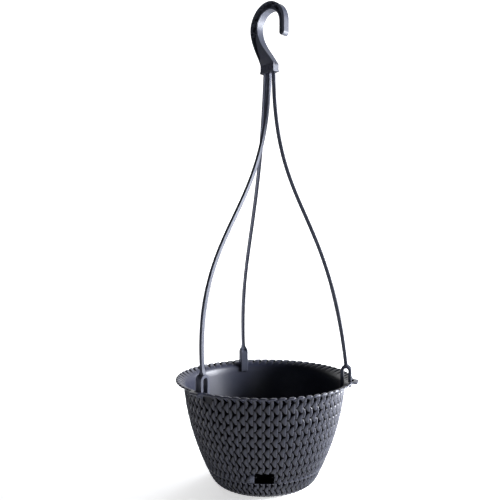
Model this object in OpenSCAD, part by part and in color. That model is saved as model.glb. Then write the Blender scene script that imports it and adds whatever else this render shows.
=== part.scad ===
// Hanging basket: a woven-look moulded bowl that pushes onto a water-holding saucer,
// with a lift-out grate for the soil and three stiff strands clipped under the rim
// and gathered in a hook.

/* [Bowl] */
// Radius that the side wall straightens towards as it rises
mouth_r = 133.4; // [105:0.1:170]
// Radius of the side wall's curve continued down to the table
foot_r = 81.4; // [60:0.1:100]
// Height at which the side wall would stand upright
straight_h = 186; // [180:1:240]
// Height of the rim's top face
rim_h = 170; // [136:1:180]
// How far the lip stands out from the wall below it
lip_reach = 13; // [10:0.5:18]
// Thickness of the lip's flat edge
lip_t = 4; // [3:0.5:6]
// Thickness of the bowl and saucer walls, weave included
wall_t = 3.2; // [2.4:0.1:4.5]

/* [Saucer] */
// Height of the seam between saucer and bowl
seam_h = 30.5; // [24:0.5:36]
// Radius of the flat that the basket stands on
rest_r = 67; // [50:1:80]
// Radius of the rounding between that flat and the wall
rest_round = 24; // [16:1:26]
// Height of the collar that locates the bowl on the saucer
collar_h = 7; // [4:0.5:10]

/* [Window] */
// Width of the water window in the bowl's skirt
window_w = 29; // [12:0.5:40]
// Height of the window, from the seam upwards
window_h = 17; // [8:0.5:24]

/* [Soil grate] */
// Height of the grate's top face
grate_h = 54; // [50:1:80]
// Thickness of the grate plate
grate_t = 2.4; // [1.6:0.2:4]
// Radius of the wick well's mouth
well_r = 28; // [16:1:36]
// Radius of one drain hole
drain_r = 2.6; // [1.5:0.1:4]

/* [Clips] */
// Width of the arch from leg to leg, outside
arch_w = 17.2; // [14:0.1:22]
// Thickness of the arch's band
arch_band = 4.8; // [3:0.1:5]
// Height of the arch's crown above the rim
arch_rise = 24; // [20:0.5:36]
// Length of the arch across its two plates
arch_l = 12.5; // [9:0.5:18]
// How far the inner leg reaches below the rim
leg_drop = 18; // [12:0.5:24]

/* [Strands] */
// Thickness of a strand, measured outwards from the basket
strand_d = 5; // [4:0.1:7]
// Width of a strand across that
strand_w = 4.6; // [4:0.1:7]

/* [Hook] */
// Height of the hook's highest point
hang_h = 787; // [600:1:950]
// Radius of the hook's outer arc
hook_r = 38.5; // [34:0.5:48]
// Radius of the arc that hangs on a rail or a bracket
hook_eye_r = 24.6; // [18:0.1:27]
// Thickness of the hook
hook_t = 15; // [10:0.5:20]
// Height of the hook from the socket's mouth to the top
hook_h = 116; // [110:1:140]
// Turn of the hook about the vertical
hook_turn = 45; // [0:1:60]
// Sideways place of the hook from the basket's axis
hook_off = 8.3; // [0:0.1:12]

/* [Fits] */
// Gap between pieces that come apart
clearance = 0.4; // [0.3:0.05:0.6]
// Gap round a strand's head in its socket cell
snug = 0.15; // [0.1:0.05:0.3]

/* [Hidden] */
$fn = 96;
eps = 0.01;

anthracite = "#33363f";
anthracite_deep = "#262930";

// The side wall is a parabola that stands upright at straight_h
function wall_r(z) = mouth_r - (mouth_r - foot_r) * pow(1 - z / straight_h, 2);

// Rim: a flat lip on a flare that leaves the wall lip_flare below the top
lip_flare = 12;
flare_z = rim_h - lip_flare;
lip_r = wall_r(flare_z) + lip_reach;
lip_top_w = 4;

// Outline of the saucer's underside: a quarter round of radius rest_round, up to where
// it meets the wall
round_steps = 8;
round_end = 65;
function round_pt(i, inset) = let (a = round_end * i / round_steps, q = rest_round - inset)
    [rest_r + q * sin(a), rest_round - q * cos(a)];

// Three clips at thirds of a turn, the first one at the front left
clip_turn = [227, 347, 107];

// Clip: an arch whose inner leg hangs just inside the wall and whose outer leg passes
// through a slot in an ear of the rim
leg_end_z = rim_h - leg_drop;
leg_out_r = wall_r(leg_end_z) - wall_t - clearance;
arch_r = leg_out_r - 2.3 + arch_w / 2;
arch_in_r = arch_w / 2 - arch_band;
arch_c_z = rim_h + arch_rise - arch_w / 2;
outer_leg_drop = 10;
plate_t = 3;
web_inset = 1.4;
slot_slack = 3;
slot_r0 = arch_r + arch_in_r - clearance;
slot_r1 = arch_r + arch_w / 2 + clearance + slot_slack;
slot_w = arch_l + 2 * clearance;

// Ear: a smooth tab of the lip round each slot, which is longer than the leg that fills it
ear_reach = slot_r1 + 6.5;
ear_t = lip_t - 1;
ear_top = rim_h - 0.4;
ear_half = slot_w / 2 + 6;
ear_round = 5;

// Latch hole below each ear, and the ledge that the grate rests on
latch_w = 4;
latch_h = 6;
latch_z = rim_h - 17;
ledge_w = 6;
ledge_t = 2.5;
ledge_z = grate_h - grate_t - ledge_t;

// Hook: socket of three cells, one for each strand's head
hook_base = hang_h - hook_h;
hook_c_z = hang_h - hook_r;
crown_t = 14;
eye_z = hang_h - crown_t - hook_eye_r;
eye_x = 3;
eye_y = eye_z - hook_c_z;
tip_w = hook_r - eye_x - hook_eye_r;
tip_y = eye_y - 18;
cell_w = 8;
cell_d = 9.4;
cell_wall = 1.5;
cell_depth = 11;
cell_pitch = cell_w + cell_wall;
socket_w = 3 * cell_w + 4 * cell_wall;
socket_d = cell_d + 2 * cell_wall;
socket_h = 14;
socket_lip = 0.6;
lip_h = 3;
snap_z = hook_base + 4.5;
snap_h = 2;
snap_reach = 0.6;
neck_h = hook_c_z - hook_base - socket_h + 1;
channel_wall = 2.2;
channel_floor = 4.2;
rib_t = 0.9;
rib_lean = 32;
rib_turns = [68, 100, 152, 182];
limb_steps = 16;

function turned(a, p) = [p[0] * cos(a) - p[1] * sin(a), p[0] * sin(a) + p[1] * cos(a)];

// Places of the strand heads: in a row across the hook
function seat(k) = [hook_off, 0] + turned(hook_turn, [0, -k * cell_pitch]);
function clip_at(i) = turned(clip_turn[i], [arch_r, 0]);

// Strands: each is a curve from its head down to its clip. Its bow is two handles of
// [share of the drop, share of the reach]. The back strand has the rear cell of the
// socket, so it passes behind the front-left one without touching it.
seat_of = [0, 1, -1];
bows = [
    [[0.52, 0.04], [0.52, 1.15]],
    [[0.485, 0.01], [0.46, 0.76]],
    [[0.55, 0.24], [0.63, 1.20]]
];
strand_top = hook_base + 2;
strand_foot = arch_c_z + arch_w / 2 - 2;
strand_rings = 56;

function bezier(u, a, b) = 3 * u * pow(1 - u, 2) * a + 3 * u * u * (1 - u) * b + pow(u, 3);
function strand_at(i, u) =
    let (t = bezier(u, bows[i][0][0], bows[i][1][0]))
    let (g = bezier(u, bows[i][0][1], bows[i][1][1]))
    let (p = seat(seat_of[i]) * (1 - g) + clip_at(i) * g)
    [p[0], p[1], strand_top + (strand_foot - strand_top) * t];

function unit(v) = v / norm(v);

// Section of a strand: a rectangle with cut corners
corner = 1.2;
function section() = let (a = strand_d / 2, b = strand_w / 2) [
    [a, -b + corner], [a, b - corner], [a - corner, b], [-a + corner, b],
    [-a, b - corner], [-a, -b + corner], [-a + corner, -b], [a - corner, -b]
];

function ring(i, u) =
    let (along = unit(strand_at(i, min(u + 0.01, 1)) - strand_at(i, max(u - 0.01, 0))))
    let (flat = clip_at(i) - seat(seat_of[i]))
    let (side = unit([-flat[1], flat[0], 0]))
    let (out = cross(along, side))
    [for (q = section()) strand_at(i, u) + q[0] * out + q[1] * side];

module strand_rod(i) {
    sides = len(section());
    points = [for (k = [0:strand_rings]) each ring(i, k / strand_rings)];
    skin = [for (k = [0:strand_rings - 1], j = [0:sides - 1]) let (n = (j + 1) % sides)
        [k * sides + j, k * sides + n, (k + 1) * sides + n, (k + 1) * sides + j]];
    top = [for (j = [0:sides - 1]) sides - 1 - j];
    foot = [for (j = [0:sides - 1]) strand_rings * sides + j];
    polyhedron(points, concat([top], skin, [foot]), convexity = 6);
}

// Outline of a clip in its own plane: x is the distance from the basket's axis
module arch_outline(inset) {
    difference() {
        union() {
            translate([arch_r, arch_c_z]) circle(arch_w / 2 - inset);
            polygon([
                [arch_r - arch_w / 2 + inset, arch_c_z], [arch_r - arch_w / 2 + inset, leg_end_z + 2],
                [arch_r - arch_w / 2 + 1, leg_end_z], [leg_out_r - 0.6, leg_end_z],
                [leg_out_r, leg_end_z + 3], [leg_out_r, rim_h - lip_flare],
                [arch_r - arch_in_r, rim_h - 4], [arch_r, arch_c_z]
            ]);
            translate([arch_r, rim_h - outer_leg_drop])
                square([arch_w / 2 - inset, arch_rise - arch_w / 2 + outer_leg_drop]);
        }
        translate([arch_r, arch_c_z]) circle(arch_in_r);
        translate([arch_r - arch_in_r, rim_h - 4])
            square([2 * arch_in_r, arch_rise - arch_w / 2 + 4]);
        translate([arch_r - arch_in_r, leg_end_z - 1])
            square([2 * arch_in_r, leg_drop]);
    }
}

module clip(i) {
    rotate([0, 0, clip_turn[i]]) rotate([90, 0, 0]) {
        for (side = [-1, 1])
            translate([0, 0, side * (arch_l - plate_t) / 2 - plate_t / 2])
                linear_extrude(plate_t) arch_outline(0);
        translate([0, 0, -arch_l / 2 + eps]) linear_extrude(arch_l - 2 * eps) arch_outline(web_inset);
    }
}

// Head of a strand: a block with a snap ridge on both faces
module head(i) {
    w = cell_w - 2 * snug;
    d = cell_d - 2 * snug;
    h = cell_depth - 2;
    p = seat(seat_of[i]);
    translate([p[0], p[1], hook_base]) rotate([0, 0, hook_turn]) {
        translate([-d / 2, -w / 2, 0.5]) cube([d, w, h]);
        translate([-d / 2 - snap_reach, -w / 2 + 1, snap_z - hook_base])
            cube([d + 2 * snap_reach, w - 2, snap_h]);
    }
}

module strand(i) {
    color(anthracite) {
        strand_rod(i);
        clip(i);
        head(i);
    }
}

module strand_front_left() {
    strand(0);
}

module strand_right() {
    strand(1);
}

module strand_back() {
    strand(2);
}

// Saucer: a shallow dish with the basket's outline and a collar inside the bowl's skirt
module saucer() {
    floor_t = 2.6;
    collar_t = 2;
    outer_top = seam_h - clearance / 2;
    collar_r = wall_r(seam_h) - wall_t - clearance;
    color(anthracite) difference() {
        rotate_extrude() polygon(concat(
            [[0, 0]],
            [for (i = [0:round_steps]) round_pt(i, 0)],
            [[wall_r(outer_top), outer_top], [collar_r, outer_top], [collar_r, seam_h + collar_h],
             [collar_r - collar_t, seam_h + collar_h], [collar_r - collar_t, outer_top - 4]],
            [for (i = [round_steps:-1:0]) round_pt(i, wall_t) + [0, floor_t - wall_t]],
            [[0, floor_t]]
        ));
        // The collar opens behind the window, so that water shows and can be poured in
        translate([-window_w / 2 - 2, -mouth_r, seam_h - clearance / 2])
            cube([window_w + 4, mouth_r, collar_h + 1]);
    }
}

module bowl_shell() {
    steps = 10;
    skirt = seam_h + clearance / 2;
    ledge_in = wall_r(ledge_z) - wall_t - ledge_w;
    function at(i) = skirt + (flare_z - skirt) * i / steps;
    // The inner wall starts again above the ledge
    ledge_top = ledge_z + ledge_t;
    function above(i) = ledge_top + (flare_z - ledge_top) * i / steps;
    rotate_extrude() polygon(concat(
        [for (i = [0:steps]) [wall_r(at(i)), at(i)]],
        [[lip_r - 1, rim_h - lip_t], [lip_r, rim_h - lip_t + 1], [lip_r, rim_h - 1],
         [lip_r - 1, rim_h], [lip_r - lip_top_w, rim_h]],
        [for (i = [steps:-1:0]) [wall_r(above(i)) - wall_t, above(i)]],
        [[ledge_in, ledge_top], [ledge_in, ledge_z], [wall_r(ledge_z) - wall_t, ledge_z - 2],
         [wall_r(skirt) - wall_t, skirt]]
    ));
}

module ear() {
    translate([0, 0, ear_top - ear_t]) linear_extrude(ear_t) {
        translate([arch_r - 1.5, -ear_half]) square([ear_reach - arch_r + 1.5 - ear_round, 2 * ear_half]);
        translate([arch_r, -ear_half + ear_round])
            square([ear_reach - arch_r, 2 * (ear_half - ear_round)]);
        for (side = [-1, 1])
            translate([ear_reach - ear_round, side * (ear_half - ear_round)]) circle(ear_round);
    }
}

module bowl() {
    jamb_w = 4;
    jamb_t = 2.2;
    window_z = seam_h + clearance / 2;
    jamb_deep = wall_r(window_z + window_h) - wall_r(window_z) + jamb_t + wall_t / 2;
    color(anthracite) difference() {
        union() {
            bowl_shell();
            for (a = clip_turn) rotate([0, 0, a]) ear();
            // Raised jamb beside the window
            translate([-window_w / 2 - jamb_w, -wall_r(window_z + window_h) - jamb_t, window_z])
                cube([jamb_w, jamb_deep, window_h]);
        }
        translate([-window_w / 2, -mouth_r, window_z - 1])
            cube([window_w, mouth_r - wall_r(window_z) + 40, window_h + 1]);
        for (a = clip_turn) rotate([0, 0, a]) {
            translate([slot_r0, -slot_w / 2, rim_h - lip_flare])
                cube([slot_r1 - slot_r0, slot_w, lip_flare + 1]);
            translate([wall_r(latch_z) - wall_t - 3, -latch_w / 2, latch_z])
                cube([wall_t + 6, latch_w, latch_h]);
        }
    }
}

// Grate: a drilled plate on the bowl's ledge with a well that wicks water up to the soil
module soil_grate() {
    plate_r = wall_r(grate_h - grate_t) - wall_t - 2 * clearance - 0.6;
    well_foot = 4.5;
    well_t = 2;
    well_foot_r = well_r - 3;
    rings = [42, 56, 70, 84];
    color(anthracite_deep) difference() {
        rotate_extrude() polygon([
            [well_r, grate_h], [plate_r, grate_h], [plate_r, grate_h - grate_t],
            [well_r + well_t, grate_h - grate_t], [well_foot_r + well_t, well_foot],
            [0, well_foot], [0, well_foot + well_t], [well_foot_r, well_foot + well_t]
        ]);
        for (r = rings, i = [0:round(r / 5)])
            rotate([0, 0, 360 * i / (round(r / 5) + 1)])
                translate([r, 0, grate_h - grate_t - 1]) cylinder(r = drain_r, h = grate_t + 2, $fn = 24);
        // Slits in the well let the water in
        for (a = [0:60:300]) rotate([0, 0, a])
            translate([well_foot_r - 6, -1.5, well_foot + 6]) cube([14, 3, 18]);
    }
}

// Outer edge (side -1) and inner edge (side 1) of the hook's limb, from the arc at u = 0
// down to the socket at u = 1. x runs along the row of cells, y up from the arc's centre.
function limb(u, side) =
    let (p = side < 0
        ? [[0.2 - hook_r, eye_y + 2], [-hook_r, -0.34 * neck_h],
           [-0.5 * hook_r, -0.76 * neck_h], [0.3 - socket_w / 2, -neck_h]]
        : [[eye_x - hook_eye_r - 0.2, eye_y + 2], [eye_x - hook_eye_r, -0.37 * neck_h],
           [0.12 * hook_eye_r, -0.7 * neck_h], [socket_w / 2 - 0.3, -neck_h]])
    pow(1 - u, 3) * p[0] + 3 * u * pow(1 - u, 2) * p[1] + 3 * u * u * (1 - u) * p[2]
        + pow(u, 3) * p[3];

module hook_arc() {
    difference() {
        union() {
            difference() {
                circle(hook_r);
                translate([-hook_r - 1, eye_y - 2 * hook_r]) square([2 * hook_r + 2, 2 * hook_r]);
            }
            translate([hook_r - tip_w, tip_y]) square([tip_w, eye_y - tip_y + 1]);
            translate([hook_r - tip_w / 2, tip_y]) circle(tip_w / 2);
        }
        translate([eye_x, eye_y]) circle(hook_eye_r);
        translate([eye_x - hook_eye_r, eye_y - 2 * hook_eye_r]) square(2 * hook_eye_r);
    }
    polygon(concat(
        [for (k = [0:limb_steps]) limb(k / limb_steps, -1)],
        [for (k = [limb_steps:-1:0]) limb(k / limb_steps, 1)]
    ));
}

// Open channel in one face of the hook: wide round the arc, a slot along the neck's outer edge
module channel() {
    wide_end = 0.3;
    slot_end = 0.8;
    difference() {
        union() {
            difference() {
                circle(hook_r - channel_wall);
                translate([eye_x, eye_y]) circle(hook_eye_r + channel_wall);
                translate([-hook_r, eye_y + 1 - 2 * hook_r]) square([2 * hook_r, 2 * hook_r]);
            }
            translate([hook_r - tip_w + channel_wall, tip_y])
                square([tip_w / 2 - channel_wall, eye_y - tip_y + 5]);
            polygon(concat(
                [for (k = [0:limb_steps]) limb(k / limb_steps * wide_end, -1) + [channel_wall, 0]],
                [for (k = [limb_steps:-1:0]) limb(k / limb_steps * wide_end, 1) - [channel_wall, 0]]
            ));
            polygon(concat(
                [for (k = [0:limb_steps]) let (u = wide_end - 0.05 + (slot_end - wide_end) * k / limb_steps)
                    limb(u, -1) + [channel_wall, 0]],
                [for (k = [limb_steps:-1:0]) let (u = wide_end - 0.05 + (slot_end - wide_end) * k / limb_steps)
                    limb(u, -1) + [channel_wall + 2 + 4 * (1 - k / limb_steps), 0]]
            ));
        }
        // Crossed ribs in groups
        for (a = rib_turns, lean = [-1, 1])
            rotate(a) translate([(hook_r + hook_eye_r) / 2, 0]) rotate(lean * rib_lean)
                translate([-hook_r / 2, -rib_t / 2]) square([hook_r, rib_t]);
    }
}

module hook() {
    color(anthracite_deep) translate([hook_off, 0, 0]) rotate([0, 0, hook_turn]) {
        // Turned so that the outline's x runs along the row of cells and its y is up
        translate([hook_t / 2, 0, hook_c_z]) rotate([90, 0, -90]) difference() {
            linear_extrude(hook_t) hook_arc();
            translate([0, 0, channel_floor]) linear_extrude(hook_t) channel();
        }
        difference() {
            union() {
                translate([-socket_d / 2, -socket_w / 2, hook_base]) cube([socket_d, socket_w, socket_h]);
                translate([-socket_d / 2 - socket_lip, -socket_w / 2 - socket_lip, hook_base])
                    cube([socket_d + 2 * socket_lip, socket_w + 2 * socket_lip, lip_h]);
            }
            for (k = [-1:1]) translate([0, k * cell_pitch, hook_base]) {
                translate([-cell_d / 2, -cell_w / 2, -1]) cube([cell_d, cell_w, cell_depth + 1]);
                translate([-cell_d / 2 - snap_reach, -cell_w / 2 + 0.8, snap_z - hook_base - snug])
                    cube([cell_d + 2 * snap_reach, cell_w - 1.6, snap_h + 2 * snug]);
            }
        }
    }
}

saucer();
bowl();
soil_grate();
hook();
strand_front_left();
strand_right();
strand_back();
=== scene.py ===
"""Looks of the hanging basket, built round its CAD frame.

The side of the basket is one curve, carried round the vertical axis. Its cord-like weave is a
height added along the curve's normal. Strands, clips and hook are sections carried along paths.
"""
import logging
import math
from dataclasses import dataclass
from enum import Enum
from typing import Sequence

import bmesh
import bpy
import numpy as np
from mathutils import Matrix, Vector


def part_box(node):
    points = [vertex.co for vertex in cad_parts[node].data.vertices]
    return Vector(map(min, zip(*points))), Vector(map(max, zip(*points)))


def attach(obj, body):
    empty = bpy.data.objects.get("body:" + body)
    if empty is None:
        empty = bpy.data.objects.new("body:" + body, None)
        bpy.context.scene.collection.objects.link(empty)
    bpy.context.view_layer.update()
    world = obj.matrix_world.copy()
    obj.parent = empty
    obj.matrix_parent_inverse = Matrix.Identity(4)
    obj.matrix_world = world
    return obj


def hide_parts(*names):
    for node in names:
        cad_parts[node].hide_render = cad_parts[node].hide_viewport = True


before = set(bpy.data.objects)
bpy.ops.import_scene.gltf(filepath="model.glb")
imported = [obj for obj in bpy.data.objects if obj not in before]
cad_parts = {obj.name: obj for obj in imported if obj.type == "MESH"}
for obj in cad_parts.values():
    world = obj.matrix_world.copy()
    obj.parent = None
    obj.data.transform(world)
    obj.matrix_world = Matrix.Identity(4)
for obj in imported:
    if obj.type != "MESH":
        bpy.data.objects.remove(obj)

log = logging.getLogger("basket")
MM = 0.001
Shape = tuple[np.ndarray, list]
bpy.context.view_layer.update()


# ---------------------------------------------------------------- meshes

def unit(v: np.ndarray) -> np.ndarray:
    """Vectors of length one along v's last axis."""
    return v / np.linalg.norm(v, axis=-1, keepdims=True)


def smooth(x: np.ndarray, low: float, high: float) -> np.ndarray:
    """An S-curve of x: 0 below low, 1 above high, 3q^2 - 2q^3 between them.

    Args:
        x: Where to take the curve.
        low: Where it leaves 0.
        high: Where it reaches 1.

    Returns:
        Numbers from 0 to 1, of x's shape.
    """
    q = np.clip((np.asarray(x, float) - low) / (high - low), 0, 1)
    return q * q * (3 - 2 * q)


def run_along(points: np.ndarray) -> np.ndarray:
    """Distance of each point from the first one, along the line through all of them."""
    return np.concatenate([[0], np.cumsum(np.linalg.norm(np.diff(points, axis=0), axis=1))])


def cubic(u: np.ndarray, first: float, second: float) -> np.ndarray:
    """A share that grows from 0 to 1 with u: 3u(1-u)^2 first + 3u^2(1-u) second + u^3."""
    return 3 * u * (1 - u) ** 2 * first + 3 * u * u * (1 - u) * second + u ** 3


def quadratic(q: np.ndarray, start: np.ndarray, bend: np.ndarray, end: np.ndarray) -> np.ndarray:
    """Points (1-q)^2 start + 2q(1-q) bend + q^2 end."""
    return start * (1 - q) ** 2 + 2 * q * (1 - q) * bend + end * q * q


def side_normals(outline: np.ndarray) -> np.ndarray:
    """Outward directions of a closed outline (radius, height), each square to its two neighbours."""
    tangent = unit(np.roll(outline, -1, 0) - np.roll(outline, 1, 0))
    return np.stack([tangent[:, 1], -tangent[:, 0]], -1)


def turned_round(r: np.ndarray, z: np.ndarray, angle: np.ndarray) -> np.ndarray:
    """Points (r cos angle, r sin angle, z), on a last axis of three."""
    return np.stack([r * np.cos(angle), r * np.sin(angle), z + 0 * r], -1)


def mesh_piece(name: str, points: np.ndarray, faces: Sequence, body: str,
               values: dict | None = None, soft_angle: float = 35) -> bpy.types.Object:
    """Makes a closed mesh object at the origin and rides it on a body.

    Args:
        name: The piece's name.
        points: Vertices, in metres, of shape (n, 3).
        faces: Vertex numbers of each face.
        body: The CAD body that the piece moves with.
        values: Named numbers per vertex, for the materials.
        soft_angle: Edges flatter than this many degrees are shaded smooth.

    Returns:
        The new object.
    """
    mesh = bpy.data.meshes.new(name)
    mesh.from_pydata(np.asarray(points, float).reshape(-1, 3).tolist(), [], [list(f) for f in faces])
    for key, numbers in (values or {}).items():
        mesh.attributes.new(key, "FLOAT", "POINT").data.foreach_set(
            "value", np.asarray(numbers, np.float32).ravel())
    piece = bpy.data.objects.new(name, mesh)
    bpy.context.collection.objects.link(piece)
    face_out(mesh)
    shade(mesh, soft_angle)
    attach(piece, body)
    log.info("%s: %d faces on %s", name, len(mesh.polygons), body)
    return piece


def face_out(mesh: bpy.types.Mesh) -> None:
    """Turns every face of a closed mesh outwards.

    Args:
        mesh: The mesh, changed in place.
    """
    work = bmesh.new()
    work.from_mesh(mesh)
    bmesh.ops.recalc_face_normals(work, faces=work.faces)
    work.to_mesh(mesh)
    work.free()


def shade(mesh: bpy.types.Mesh, soft_angle: float) -> None:
    """Shades a mesh smooth, with its sharp edges left crisp.

    Args:
        mesh: The mesh, changed in place.
        soft_angle: Edges sharper than this many degrees stay crisp.
    """
    mesh.polygons.foreach_set("use_smooth", np.ones(len(mesh.polygons), bool))
    mesh.set_sharp_from_angle(angle=math.radians(soft_angle))
    mesh.update()


def grid_faces(rows: int, columns: int, close_rows: bool, close_columns: bool) -> np.ndarray:
    """Quads of a grid of rows x columns vertices, joined end to end where it is closed.

    Args:
        rows: Vertices along the first direction.
        columns: Vertices along the second direction.
        close_rows: Whether the last row joins the first one.
        close_columns: Whether the last column joins the first one.

    Returns:
        Vertex numbers of shape (quads, 4).
    """
    i = np.arange(rows if close_rows else rows - 1)[:, None]
    j = np.arange(columns if close_columns else columns - 1)[None, :]
    i2, j2 = (i + 1) % rows, (j + 1) % columns
    corners = [i * columns + j, i2 * columns + j, i2 * columns + j2, i * columns + j2]
    return np.stack([c + 0 * i + 0 * j for c in corners], axis=-1).reshape(-1, 4)


def swept(path: np.ndarray, out: np.ndarray, across: np.ndarray, section: np.ndarray) -> Shape:
    """A section carried along a path, with both ends closed.

    Each vertex is path + section[0] * out + section[1] * across.

    Args:
        path: Stations, of shape (n, 3).
        out: First direction of the section at each station, of shape (n, 3).
        across: Second direction at each station, of shape (n, 3).
        section: The outline, of shape (m, 2) or, where it changes, (n, m, 2).

    Returns:
        Vertices of shape (n * m, 3), and the faces.
    """
    count = len(path)
    outline = np.broadcast_to(section, (count,) + section.shape[-2:])
    points = (path[:, None] + outline[..., :1] * out[:, None] + outline[..., 1:] * across[:, None])
    sides = outline.shape[1]
    faces = grid_faces(count, sides, False, True).tolist()
    faces.append(list(range(sides - 1, -1, -1)))
    faces.append(list(range((count - 1) * sides, count * sides)))
    return points.reshape(-1, 3), faces


def joined(parts: Sequence[Shape]) -> Shape:
    """Several shapes' vertices and faces as one list of each.

    Args:
        parts: Vertices and faces of each shape.

    Returns:
        All vertices, and all faces with their vertex numbers moved on.
    """
    points, faces, base = [], [], 0
    for vertices, polygons in parts:
        points.append(vertices)
        faces += [[k + base for k in f] for f in polygons]
        base += len(vertices)
    return np.vstack(points), faces


def box_between(low: Sequence[float], high: Sequence[float], turn: float = 0.0) -> Shape:
    """A box between two corners, turned about the vertical axis.

    Args:
        low: The corner with the least x, y and z, before the turn.
        high: The opposite corner.
        turn: Angle of the turn, in radians.

    Returns:
        Vertices of shape (8, 3), and the faces.
    """
    low, high = np.array(low, float), np.array(high, float)
    pick = np.array([[x, y, z] for z in (0, 1) for x, y in ((0, 0), (1, 0), (1, 1), (0, 1))])
    points = low + pick * (high - low)
    c, s = math.cos(turn), math.sin(turn)
    points[:, :2] = points[:, :2] @ np.array([[c, s], [-s, c]])
    faces = [[3, 2, 1, 0], [4, 5, 6, 7], [0, 1, 5, 4], [1, 2, 6, 5], [2, 3, 7, 6], [3, 0, 4, 7]]
    return points, faces


def cut(piece: bpy.types.Object, shapes: Sequence[Shape]) -> None:
    """Cuts closed shapes out of a piece with a Boolean, and applies it.

    Args:
        piece: The piece that is cut.
        shapes: Vertices and faces of each shape.
    """
    points, faces = joined(shapes)
    mesh = bpy.data.meshes.new("cutter")
    mesh.from_pydata(points.tolist(), [], faces)
    face_out(mesh)
    cutter = bpy.data.objects.new("cutter", mesh)
    bpy.context.collection.objects.link(cutter)
    boolean = piece.modifiers.new("cut", "BOOLEAN")
    boolean.operation, boolean.object, boolean.solver = "DIFFERENCE", cutter, "EXACT"
    evaluated = piece.evaluated_get(bpy.context.evaluated_depsgraph_get())
    result = bpy.data.meshes.new_from_object(evaluated)
    piece.modifiers.clear()
    piece.data = result
    bpy.data.objects.remove(cutter)


# ---------------------------------------------------------------- shader maths

class Sock:
    """A shader socket, or a number, that Python's operators work on."""

    def __init__(self, tree: "Nodes", value: object) -> None:
        """Wraps a socket or a number of one node tree."""
        self.tree, self.value = tree, value

    def _math(self, operation: str, *others: object) -> "Sock":
        """A Math node on this value and others."""
        inputs = {k: v for k, v in enumerate((self, *others))}
        return self.tree.node("ShaderNodeMath", {"operation": operation}, inputs)

    def __add__(self, other: object) -> "Sock":
        """self + other."""
        return self._math("ADD", other)

    def __mul__(self, other: object) -> "Sock":
        """self * other."""
        return self._math("MULTIPLY", other)

    def __sub__(self, other: object) -> "Sock":
        """self - other."""
        return self._math("SUBTRACT", other)

    def __rsub__(self, other: object) -> "Sock":
        """other - self."""
        return Sock(self.tree, other)._math("SUBTRACT", self)

    __radd__ = __add__
    __rmul__ = __mul__

    def clamped(self) -> "Sock":
        """The value held between 0 and 1."""
        return self._math("MINIMUM", 1.0)._math("MAXIMUM", 0.0)


class Nodes:
    """One material's node tree."""

    def __init__(self, name: str) -> None:
        """Starts a material with a Principled shader.

        Args:
            name: The material's name.
        """
        self.material = bpy.data.materials.new(name)
        self.material.use_nodes = True
        self.tree = self.material.node_tree
        self.shader = self.tree.nodes["Principled BSDF"]

    def node(self, kind: str, settings: dict | None = None, inputs: dict | None = None,
             output: int | str = 0) -> Sock:
        """Adds a node.

        Args:
            kind: Blender's type name of the node.
            settings: Attributes, set before the sockets.
            inputs: Values or links by socket name or number.
            output: Name or number of the output that is returned.

        Returns:
            That output.
        """
        made = self.tree.nodes.new(kind)
        for key, value in (settings or {}).items():
            setattr(made, key, value)
        for key, value in (inputs or {}).items():
            self.feed(made.inputs[key], value)
        return Sock(self, made.outputs[output])

    def feed(self, socket: bpy.types.NodeSocket, value: object) -> None:
        """Links or sets one input socket.

        Args:
            socket: The input.
            value: A Sock, an output socket, or what the input is set to.
        """
        value = value.value if isinstance(value, Sock) else value
        if isinstance(value, bpy.types.NodeSocket):
            self.tree.links.new(value, socket)
        else:
            socket.default_value = value

    def blend(self, factor: object, first: object, second: object) -> Sock:
        """A colour between first and second."""
        return self.node("ShaderNodeMix", {"data_type": "RGBA"},
                         {0: factor, 6: first, 7: second}, 2)

    def finish(self, **inputs: object) -> bpy.types.Material:
        """Sets or links the shader's sockets.

        Args:
            inputs: Values by socket name, with underscores for its spaces.

        Returns:
            The material.
        """
        for key, value in inputs.items():
            self.feed(self.shader.inputs[key.replace("_", " ")], value)
        return self.material


class Grain(Enum):
    """How the mould's surface was finished, as the scale of its grain."""
    SPARKED = 1400.0
    SATIN = 650.0


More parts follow.
